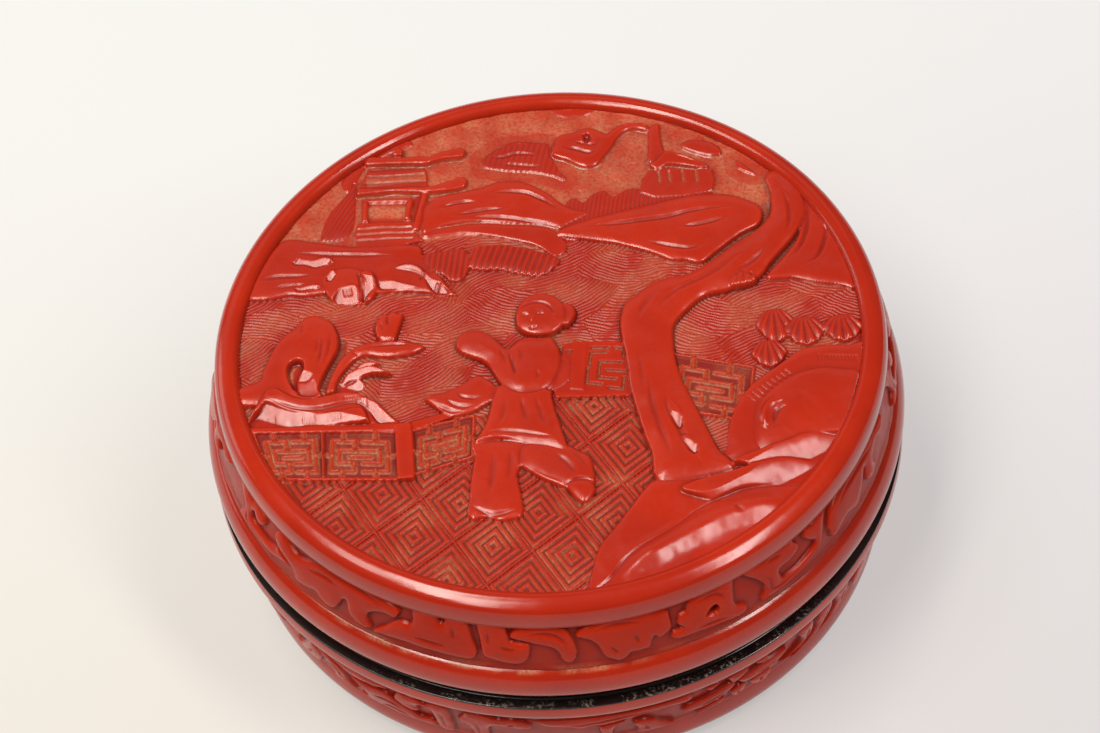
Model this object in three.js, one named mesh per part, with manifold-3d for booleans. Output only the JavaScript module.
// Round carved cinnabar lacquer box with a lift-off lid: turned wooden cores under carved lacquer coats.
// Millimetres, +Z up. The origin is the middle of the plane that the foot ring stands on.
import * as THREE from 'three';
import { mergeVertices } from 'three/addons/utils/BufferGeometryUtils.js';
import Module from 'manifold-3d';

const wasm = await Module();
wasm.setup();

// Clearances
const bondGap = 0.3; // lacquer ground and glue between two bonded pieces
const slideGap = 0.3; // play round the collar, so that the lid lifts off

// Heights, each piece of the outer wall standing on the one before it
const footRingHeight = 1.2;
const footBeadHeight = 5.2;
const baseBandHeight = 9.5;
const baseBeadHeight = 2.7;
const baseMouthRingHeight = 1.5;
const lidMouthRingHeight = 1.3;
const lidBeadHeight = 4.8;
const lidBandHeight = 8;
const rollHeight = 3.4;

// Outer outline, from the widest line of the box inwards
const beadRadius = 48;
const beadProud = 0.7; // a mouth bead stands this far out from the band beside it
const beadLipTuck = 0.5; // and rounds in this far at the mouth
const lidBandLean = 1.9;
const lidBandBulge = 0.35;
const baseBandLean = 1.3;
const baseBandBulge = 0.2;
const footSetback = 0.5;
const footTuck = 1.5;
const footRingSetback = 0.2;
const footRingWidth = 3;
const lidMouthRingSetback = 0.6;
const baseMouthRingSetback = 0.2;
const mouthRingRounding = 0.5;

// Carved lacquer
const carvingDepth = 1.5; // on both side bands
const carvingSetback = 0.15; // the carved faces lie this far inside the bands' outline
const carvingRoot = 0.3; // how far a raised form reaches down into its ground
const groundThickness = 0.5; // lacquer left under the deepest carving
const bandScrollCount = 10;

// Lid top
const rollWidth = 3.5;
const rollCrestInset = 1; // from the medallion's edge to the roll's highest line
const rollFullness = 0.8; // below one, the roll's shoulder stands fuller than a plain quarter round
const medallionSink = 1; // from the roll's crest down to the medallion's ground
const medallionRelief = 0.8; // the highest carved forms above that ground
const panelThickness = 1;

// Wooden cores, linings and collar
const coreThickness = 1.8;
const boardThickness = 2.4;
const liningThickness = 0.7;
const undersideRecess = 2.4;
const undersideThickness = 0.6;
const collarThickness = 1.1;
const collarRise = 3.9; // above the parting line, inside the lid
const collarRounding = 0.4;

// Facets
const roundSegments = 48;
const beadSteps = 4;
const rollSteps = 4;
const smoothing = 1.4; // points along a smoothed outline for each point given

// Levels up the outer wall
const footRingTop = footRingHeight;
const footBeadTop = footRingTop + footBeadHeight;
const baseBandTop = footBeadTop + baseBandHeight;
const baseBeadTop = baseBandTop + baseBeadHeight;
const parting = baseBeadTop + baseMouthRingHeight;
const lidRingTop = parting + lidMouthRingHeight;
const lidBeadTop = lidRingTop + lidBeadHeight;
const lidBandTop = lidBeadTop + lidBandHeight;
const crest = lidBandTop + rollHeight;

// Levels inside
const medallionGround = crest - medallionSink;
const lidBoardTop = medallionGround - panelThickness;
const lidBoardBottom = lidBoardTop - boardThickness;
const lidCeiling = lidBoardBottom - liningThickness;
const undersideTop = undersideRecess + undersideThickness;
const baseBoardTop = undersideTop + boardThickness;
const baseFloor = baseBoardTop + liningThickness;

// Radii
const bandRadius = beadRadius - beadProud; // both bands meet their mouth beads here
const lipRadius = beadRadius - beadLipTuck;
const lidBandTopRadius = bandRadius - lidBandLean;
const baseBandFootRadius = bandRadius - baseBandLean;
const footBeadRadius = baseBandFootRadius - footSetback;
const footRadius = footBeadRadius - footTuck;
const footRingRadius = footRadius - footRingSetback;
const medallionRadius = lidBandTopRadius - rollWidth;
const coatInner = Math.min(lidBandTopRadius, baseBandFootRadius) - carvingDepth - groundThickness;
const coreOuter = coatInner - bondGap;
const coreInner = coreOuter - coreThickness;
const liningOuter = coreInner - bondGap;
const liningInner = liningOuter - liningThickness;
const collarOuter = liningInner - slideGap;
const collarInner = collarOuter - collarThickness;

// Materials
const cinnabar = { color: 0xb83222, roughness: 0.38, metalness: 0 };
const cinnabarDeep = { color: 0xa42a1c, roughness: 0.42, metalness: 0 };
const blackLacquer = { color: 0x0c0b0b, roughness: 0.22, metalness: 0 };
const coreWood = { color: 0xa98a5e, roughness: 0.7, metalness: 0 };

const box = new THREE.Group();

function addPiece(name, geometry, finish) {
  const piece = new THREE.Mesh(geometry, new THREE.MeshStandardMaterial(finish));
  piece.name = name;
  box.add(piece);
}

// A profile of [radius, height] points, counter-clockwise, turned round the vertical axis
function turned(profile) {
  const points = profile.map(([radius, height]) => new THREE.Vector2(radius, height));
  return new THREE.LatheGeometry(points, roundSegments).rotateX(Math.PI / 2);
}

function turnedRing(profile) {
  return turned([...profile, profile[0]]);
}

function turnedTube(inner, outer, bottom, top) {
  return turnedRing([
    [inner, bottom],
    [outer, bottom],
    [outer, top],
    [inner, top],
  ]);
}

function turnedDisc(radius, bottom, top) {
  return turned([
    [0, bottom],
    [radius, bottom],
    [radius, top],
    [0, top],
  ]);
}

function solidOf(geometry) {
  const bare = geometry.clone();
  bare.deleteAttribute('normal');
  bare.deleteAttribute('uv');
  const merged = mergeVertices(bare);
  return new wasm.Manifold(new wasm.Mesh({
    numProp: 3,
    vertProperties: merged.attributes.position.array,
    triVerts: new Uint32Array(merged.index.array),
  }));
}

function geometryOf(solid) {
  const mesh = solid.getMesh();
  const geometry = new THREE.BufferGeometry();
  geometry.setAttribute('position', new THREE.BufferAttribute(mesh.vertProperties, 3));
  geometry.setIndex(new THREE.BufferAttribute(mesh.triVerts, 1));
  geometry.computeVertexNormals();
  return geometry;
}

function joined(ground, forms) {
  const solids = forms.map(solidOf);
  return geometryOf(solids.reduce((whole, form) => whole.add(form), solidOf(ground)));
}

// A closed outline through points given as shares; smooth ones round their corners off
function outline(shares, scaleX, scaleY, smooth) {
  const points = shares.map(([x, y]) => new THREE.Vector3(x * scaleX, y * scaleY, 0));
  if (!smooth) return points.map((p) => new THREE.Vector2(p.x, p.y));
  const curve = new THREE.CatmullRomCurve3(points, true, 'centripetal');
  const count = Math.round(points.length * smoothing);
  return curve.getPoints(count).slice(0, -1).map((p) => new THREE.Vector2(p.x, p.y));
}

// Bulging profile between two heights: the widest radius is at the middle, with a tuck at each end
function beadProfile(widest, bottom, top, bottomTuck, topTuck) {
  const middle = (bottom + top) / 2;
  return Array.from({ length: beadSteps + 1 }, (_, i) => {
    const across = (2 * i) / beadSteps - 1;
    const tuck = across < 0 ? bottomTuck : topTuck;
    return [widest - tuck * across * across, middle + (across * (top - bottom)) / 2];
  });
}

// A side band: its outline leans in a straight line from one radius to the other, with a slight bulge
function bandOf(bottom, top, bottomRadius, topRadius, bulge) {
  const radiusAt = (height) => {
    const share = (height - bottom) / (top - bottom);
    const across = 2 * share - 1;
    return bottomRadius + (topRadius - bottomRadius) * share + bulge * (1 - across * across);
  };
  return { bottom, top, radiusAt };
}

// Carved scrollwork of the side bands, as shares of one repeat's width and of the band's height
const bandFormShares = [
  [[0.03, 0.16], [0.12, 0.09], [0.24, 0.12], [0.33, 0.24], [0.36, 0.45], [0.31, 0.66], [0.2, 0.76],
    [0.1, 0.7], [0.08, 0.56], [0.16, 0.49], [0.21, 0.57], [0.26, 0.48], [0.24, 0.33], [0.14, 0.27]],
  [[0.3, 0.82], [0.4, 0.64], [0.52, 0.55], [0.66, 0.56], [0.7, 0.7], [0.62, 0.8], [0.5, 0.78], [0.42, 0.9]],
  [[0.42, 0.42], [0.46, 0.2], [0.58, 0.1], [0.74, 0.14], [0.8, 0.3], [0.72, 0.42], [0.62, 0.34],
    [0.54, 0.44]],
  [[0.76, 0.88], [0.78, 0.62], [0.86, 0.4], [0.97, 0.3], [0.99, 0.5], [0.93, 0.66], [0.97, 0.82],
    [0.87, 0.92]],
];

// One raised form of a band, drawn flat and then bent round the band; mirrored repeats alternate
function bandForm(band, shares, repeat) {
  const turn = (2 * Math.PI) / bandScrollCount;
  const height = band.top - band.bottom;
  const raise = carvingDepth - carvingSetback + carvingRoot;
  const mirrored = repeat % 2 === 1;
  const placed = shares.map(([x, y]) => (mirrored ? [1 - x, y] : [x, y]));
  if (mirrored) placed.reverse();
  const flat = new THREE.Shape(outline(placed, turn, height, false));
  const form = new THREE.ExtrudeGeometry(flat, { depth: raise, bevelEnabled: false });
  const position = form.attributes.position;
  for (let i = 0; i < position.count; i += 1) {
    const angle = position.getX(i) + repeat * turn;
    const level = band.bottom + position.getY(i);
    const radius = band.radiusAt(level) - carvingDepth - carvingRoot + position.getZ(i);
    position.setXYZ(i, radius * Math.cos(angle), radius * Math.sin(angle), level);
  }
  return form;
}

function carvedBand(band) {
  const middle = (band.bottom + band.top) / 2;
  const ground = turnedRing([
    [coatInner, band.bottom],
    [band.radiusAt(band.bottom) - carvingDepth, band.bottom],
    [band.radiusAt(middle) - carvingDepth, middle],
    [band.radiusAt(band.top) - carvingDepth, band.top],
    [coatInner, band.top],
  ]);
  const forms = [];
  for (let repeat = 0; repeat < bandScrollCount; repeat += 1) {
    for (const shares of bandFormShares) forms.push(bandForm(band, shares, repeat));
  }
  return joined(ground, forms);
}

// Carved garden scene of the medallion. Outlines are shares of the medallion's radius, +Y away from
// the viewer; riseShare is a share of the relief. The shallow forms come first.
const sceneForms = [
  // Far hills and bank
  { riseShare: 0.3, smooth: true, shares: [[-0.95, 0.27], [-0.72, 0.26], [-0.45, 0.24], [-0.29, 0.2],
    [-0.34, 0.29], [-0.42, 0.345], [-0.56, 0.42], [-0.8, 0.5], [-0.9, 0.4]] },
  { riseShare: 0.4, smooth: true, shares: [[-0.37, 0.48], [-0.37, 0.6], [-0.25, 0.65], [-0.12, 0.68],
    [0, 0.645], [0.08, 0.56], [0.17, 0.5], [0.07, 0.45], [-0.1, 0.49], [-0.22, 0.51]] },
  { riseShare: 0.45, smooth: true, shares: [[0.07, 0.42], [0.2, 0.48], [0.42, 0.53], [0.6, 0.54],
    [0.74, 0.45], [0.7, 0.34], [0.56, 0.27], [0.47, 0.25], [0.36, 0.3], [0.22, 0.36]] },
  { riseShare: 0.35, smooth: true, shares: [[0.72, 0.14], [0.88, 0.11], [0.96, 0.1], [0.93, 0.3],
    [0.87, 0.42], [0.83, 0.28], [0.76, 0.2]] },
  { riseShare: 0.35, smooth: true, shares: [[0.17, 0.72], [0.23, 0.73], [0.28, 0.8], [0.34, 0.87],
    [0.2, 0.95], [-0.05, 0.97], [-0.02, 0.88], [0.1, 0.8]] },
  // Pavilion: two roofs, two columns and a platform
  { riseShare: 0.55, shares: [[-0.62, 0.66], [-0.36, 0.66], [-0.42, 0.76], [-0.56, 0.76]] },
  { riseShare: 0.7, shares: [[-0.38, 0.65], [-0.23, 0.65], [-0.25, 0.71], [-0.36, 0.71]] },
  { riseShare: 0.5, shares: [[-0.6, 0.51], [-0.56, 0.51], [-0.56, 0.66], [-0.6, 0.66]] },
  { riseShare: 0.5, shares: [[-0.44, 0.5], [-0.4, 0.5], [-0.38, 0.66], [-0.42, 0.66]] },
  { riseShare: 0.4, shares: [[-0.64, 0.44], [-0.39, 0.44], [-0.39, 0.52], [-0.64, 0.52]] },
  // Ribbed ends of the bank and the round boulder
  { riseShare: 0.5, smooth: true, shares: [[-0.38, 0.38], [-0.25, 0.39], [-0.235, 0.33], [-0.25, 0.27],
    [-0.3, 0.25], [-0.34, 0.29]] },
  { riseShare: 0.5, smooth: true, shares: [[-0.24, 0.32], [-0.22, 0.39], [-0.1, 0.39], [0.02, 0.35],
    [0.06, 0.31], [0, 0.255], [-0.08, 0.265], [-0.15, 0.3]] },
  { riseShare: 0.6, smooth: true, shares: [[-0.72, 0.3], [-0.69, 0.35], [-0.63, 0.37], [-0.56, 0.34],
    [-0.545, 0.27], [-0.58, 0.2], [-0.66, 0.21], [-0.71, 0.25]] },
  // Garden rocks and plant on the left
  { riseShare: 0.7, smooth: true, shares: [[-0.965, -0.18], [-0.94, -0.05], [-0.895, 0.04],
    [-0.84, 0.08], [-0.79, 0.15], [-0.74, 0.16], [-0.69, 0.1], [-0.69, 0.01], [-0.73, -0.07],
    [-0.75, -0.18]] },
  { riseShare: 0.85, smooth: true, shares: [[-0.95, -0.25], [-0.92, -0.15], [-0.86, -0.14],
    [-0.8, -0.17], [-0.68, -0.165], [-0.56, -0.19], [-0.49, -0.29], [-0.6, -0.3], [-0.78, -0.275]] },
  { riseShare: 0.5, smooth: true, shares: [[-0.7, -0.13], [-0.66, -0.05], [-0.6, 0.01], [-0.55, 0.04],
    [-0.56, 0.14], [-0.49, 0.16], [-0.47, 0.1], [-0.41, 0.02], [-0.5, -0.02], [-0.6, -0.06],
    [-0.52, -0.11], [-0.63, -0.13]] },
  // Fret railings
  { riseShare: 0.4, shares: [[-0.93, -0.28], [-0.5, -0.32], [-0.5, -0.51], [-0.84, -0.47]] },
  { riseShare: 0.6, shares: [[-0.505, -0.31], [-0.455, -0.31], [-0.455, -0.51], [-0.505, -0.51]] },
  { riseShare: 0.4, shares: [[-0.455, -0.34], [-0.28, -0.29], [-0.28, -0.46], [-0.455, -0.51]] },
  { riseShare: 0.4, shares: [[0.06, -0.06], [0.25, -0.08], [0.25, -0.26], [0.06, -0.24]] },
  { riseShare: 0.4, shares: [[0.4, -0.2], [0.62, -0.16], [0.62, -0.26], [0.51, -0.46], [0.45, -0.4]] },
  // Figure of a boy: legs, tunic, trailing sleeve, raised sleeve, head and hair knot
  { riseShare: 0.75, smooth: true, shares: [[-0.27, -0.4], [-0.285, -0.6], [-0.29, -0.69],
    [-0.14, -0.72], [-0.12, -0.62], [-0.12, -0.53], [-0.03, -0.6], [0.06, -0.68], [0.1, -0.58],
    [0.06, -0.42]] },
  { riseShare: 0.85, smooth: true, shares: [[-0.19, -0.2], [-0.22, -0.3], [-0.26, -0.41],
    [-0.1, -0.42], [0.05, -0.43], [0.03, -0.32], [0, -0.2]] },
  { riseShare: 0.8, smooth: true, shares: [[-0.41, -0.2], [-0.33, -0.175], [-0.24, -0.13],
    [-0.19, -0.18], [-0.2, -0.26], [-0.27, -0.3], [-0.36, -0.28]] },
  { riseShare: 0.92, smooth: true, shares: [[-0.3, 0], [-0.26, 0.035], [-0.19, 0.015],
    [-0.14, -0.03], [-0.04, -0.03], [0.03, -0.07], [0.05, -0.14], [-0.01, -0.23], [-0.11, -0.235],
    [-0.19, -0.18], [-0.26, -0.1]] },
  { riseShare: 1, smooth: true, shares: [[-0.1, 0.01], [-0.09, 0.11], [-0.02, 0.16], [0.05, 0.13],
    [0.055, 0.04], [0.01, -0.01], [-0.06, -0.01]] },
  { riseShare: 0.9, smooth: true, shares: [[0.05, 0.06], [0.055, 0.115], [0.09, 0.11], [0.09, 0.06]] },
  // Tree on the right with its long branch
  { riseShare: 0.95, smooth: true, shares: [[0.3, -0.62], [0.265, -0.46], [0.25, -0.28], [0.24, -0.08],
    [0.22, 0.03], [0.27, 0.11], [0.38, 0.17], [0.48, 0.2], [0.6, 0.3], [0.73, 0.37], [0.77, 0.47],
    [0.77, 0.57], [0.84, 0.54], [0.875, 0.42], [0.83, 0.28], [0.73, 0.16], [0.6, 0.1], [0.46, 0.04],
    [0.4, -0.06], [0.4, -0.24], [0.44, -0.38], [0.51, -0.54]] },
  // Rocks in front of the tree
  { riseShare: 0.7, smooth: true, shares: [[0.5, -0.54], [0.51, -0.44], [0.56, -0.33], [0.65, -0.24],
    [0.76, -0.165], [0.88, -0.16], [0.965, -0.18], [0.93, -0.32], [0.84, -0.5], [0.68, -0.51]] },
  { riseShare: 0.6, smooth: true, shares: [[0.3, -0.6], [0.45, -0.575], [0.6, -0.54], [0.74, -0.49],
    [0.83, -0.52], [0.7, -0.68], [0.5, -0.84], [0.3, -0.93], [0.1, -0.975], [0, -0.97], [0.04, -0.87],
    [0.16, -0.74]] },
];

// Fan-shaped leaf sprays by the tree: centre shares, and half sizes as shares
const leafSprays = [
  { atShare: [0.7, -0.085], halfShare: [0.055, 0.055] },
  { atShare: [0.81, -0.11], halfShare: [0.05, 0.04] },
  { atShare: [0.92, -0.115], halfShare: [0.035, 0.038] },
  { atShare: [0.7, -0.18], halfShare: [0.05, 0.04] },
];
const leafSprayCorners = 10;
const leafSprayRiseShare = 0.85;

function medallionForm(points, riseShare) {
  const depth = carvingRoot + riseShare * medallionRelief;
  const form = new THREE.ExtrudeGeometry(new THREE.Shape(points), { depth, bevelEnabled: false });
  return form.translate(0, 0, medallionGround - carvingRoot);
}

function leafSprayPoints({ atShare, halfShare }) {
  return Array.from({ length: leafSprayCorners }, (_, i) => {
    const angle = (2 * Math.PI * i) / leafSprayCorners;
    return new THREE.Vector2(
      medallionRadius * (atShare[0] + halfShare[0] * Math.cos(angle)),
      medallionRadius * (atShare[1] + halfShare[1] * Math.sin(angle)),
    );
  });
}

function topPanel() {
  const forms = sceneForms.map(({ riseShare, smooth, shares }) =>
    medallionForm(outline(shares, medallionRadius, medallionRadius, smooth), riseShare));
  for (const spray of leafSprays) forms.push(medallionForm(leafSprayPoints(spray), leafSprayRiseShare));
  return joined(turnedDisc(medallionRadius, lidBoardTop, medallionGround), forms);
}

// The roll: a rounded rim that sits on the board's edge and hangs outside it down to the side band
function rimMoulding() {
  const inner = medallionRadius + bondGap;
  const crestRadius = medallionRadius + rollCrestInset;
  const reach = lidBandTopRadius - crestRadius;
  const outside = Array.from({ length: rollSteps + 1 }, (_, i) => {
    const angle = (Math.PI / 2) * (i / rollSteps);
    const out = Math.cos(angle) ** rollFullness;
    const up = Math.sin(angle) ** rollFullness;
    return [crestRadius + reach * out, lidBandTop + rollHeight * up];
  });
  return turnedRing([
    [inner, lidBoardTop],
    [coatInner, lidBoardTop],
    [coatInner, lidBandTop],
    ...outside,
    [inner, (crest + medallionGround) / 2],
  ]);
}

function mouthBead(bottom, top, bottomTuck, topTuck) {
  return turnedRing([
    [coatInner, bottom],
    ...beadProfile(beadRadius, bottom, top, bottomTuck, topTuck),
    [coatInner, top],
  ]);
}

function footBead() {
  return turnedRing([
    [coatInner, footRingTop],
    ...beadProfile(footBeadRadius, footRingTop, footBeadTop, footTuck, footSetback),
    [coatInner, footBeadTop],
  ]);
}

function baseMouthRing() {
  const outer = lipRadius - baseMouthRingSetback;
  return turnedRing([
    [liningInner, baseBeadTop],
    [outer, baseBeadTop],
    [outer, parting - mouthRingRounding],
    [outer - mouthRingRounding, parting],
    [liningInner, parting],
  ]);
}

function collar() {
  const top = parting + collarRise;
  return turnedRing([
    [collarInner, baseFloor],
    [collarOuter, baseFloor],
    [collarOuter, top - collarRounding],
    [collarOuter - collarRounding, top],
    [collarInner, top],
  ]);
}

function lidLining() {
  return turned([
    [0, lidCeiling],
    [liningInner, lidCeiling],
    [liningInner, lidRingTop],
    [liningOuter, lidRingTop],
    [liningOuter, lidBoardBottom],
    [0, lidBoardBottom],
  ]);
}

function baseLining() {
  return turned([
    [0, baseBoardTop],
    [liningOuter, baseBoardTop],
    [liningOuter, baseBeadTop],
    [liningInner, baseBeadTop],
    [liningInner, baseFloor],
    [0, baseFloor],
  ]);
}

function underside() {
  return turned([
    [0, undersideRecess],
    [liningInner, undersideRecess],
    [liningInner, footRingTop],
    [liningOuter, footRingTop],
    [liningOuter, undersideTop],
    [0, undersideTop],
  ]);
}

// Lid
const lidBand = bandOf(lidBeadTop, lidBandTop, bandRadius, lidBandTopRadius, lidBandBulge);
addPiece('lid_core_wall', turnedTube(coreInner, coreOuter, lidRingTop, lidBoardBottom), coreWood);
addPiece('lid_core_board', turnedDisc(coreOuter, lidBoardBottom, lidBoardTop), coreWood);
addPiece('lid_lining', lidLining(), blackLacquer);
addPiece('lid_top_panel', topPanel(), cinnabar);
addPiece('lid_rim_moulding', rimMoulding(), cinnabar);
addPiece('lid_side_band', carvedBand(lidBand), cinnabarDeep);
addPiece('lid_mouth_bead', mouthBead(lidRingTop, lidBeadTop, beadLipTuck, beadProud), cinnabar);
addPiece('lid_mouth_ring',
  turnedTube(liningInner, lipRadius - lidMouthRingSetback, parting, lidRingTop), blackLacquer);

// Base
const baseBand = bandOf(footBeadTop, baseBandTop, baseBandFootRadius, bandRadius, baseBandBulge);
addPiece('base_core_wall', turnedTube(coreInner, coreOuter, footRingTop, baseBeadTop), coreWood);
addPiece('base_core_board', turnedDisc(liningOuter, undersideTop, baseBoardTop), coreWood);
addPiece('base_lining', baseLining(), blackLacquer);
addPiece('base_collar', collar(), blackLacquer);
addPiece('base_mouth_ring', baseMouthRing(), blackLacquer);
addPiece('base_mouth_bead', mouthBead(baseBandTop, baseBeadTop, beadProud, beadLipTuck), cinnabar);
addPiece('base_side_band', carvedBand(baseBand), cinnabarDeep);
addPiece('base_foot_bead', footBead(), cinnabar);
addPiece('base_foot_ring', turnedTube(footRingRadius - footRingWidth, footRingRadius, 0, footRingTop),
  blackLacquer);
addPiece('base_underside', underside(), blackLacquer);

export default box;
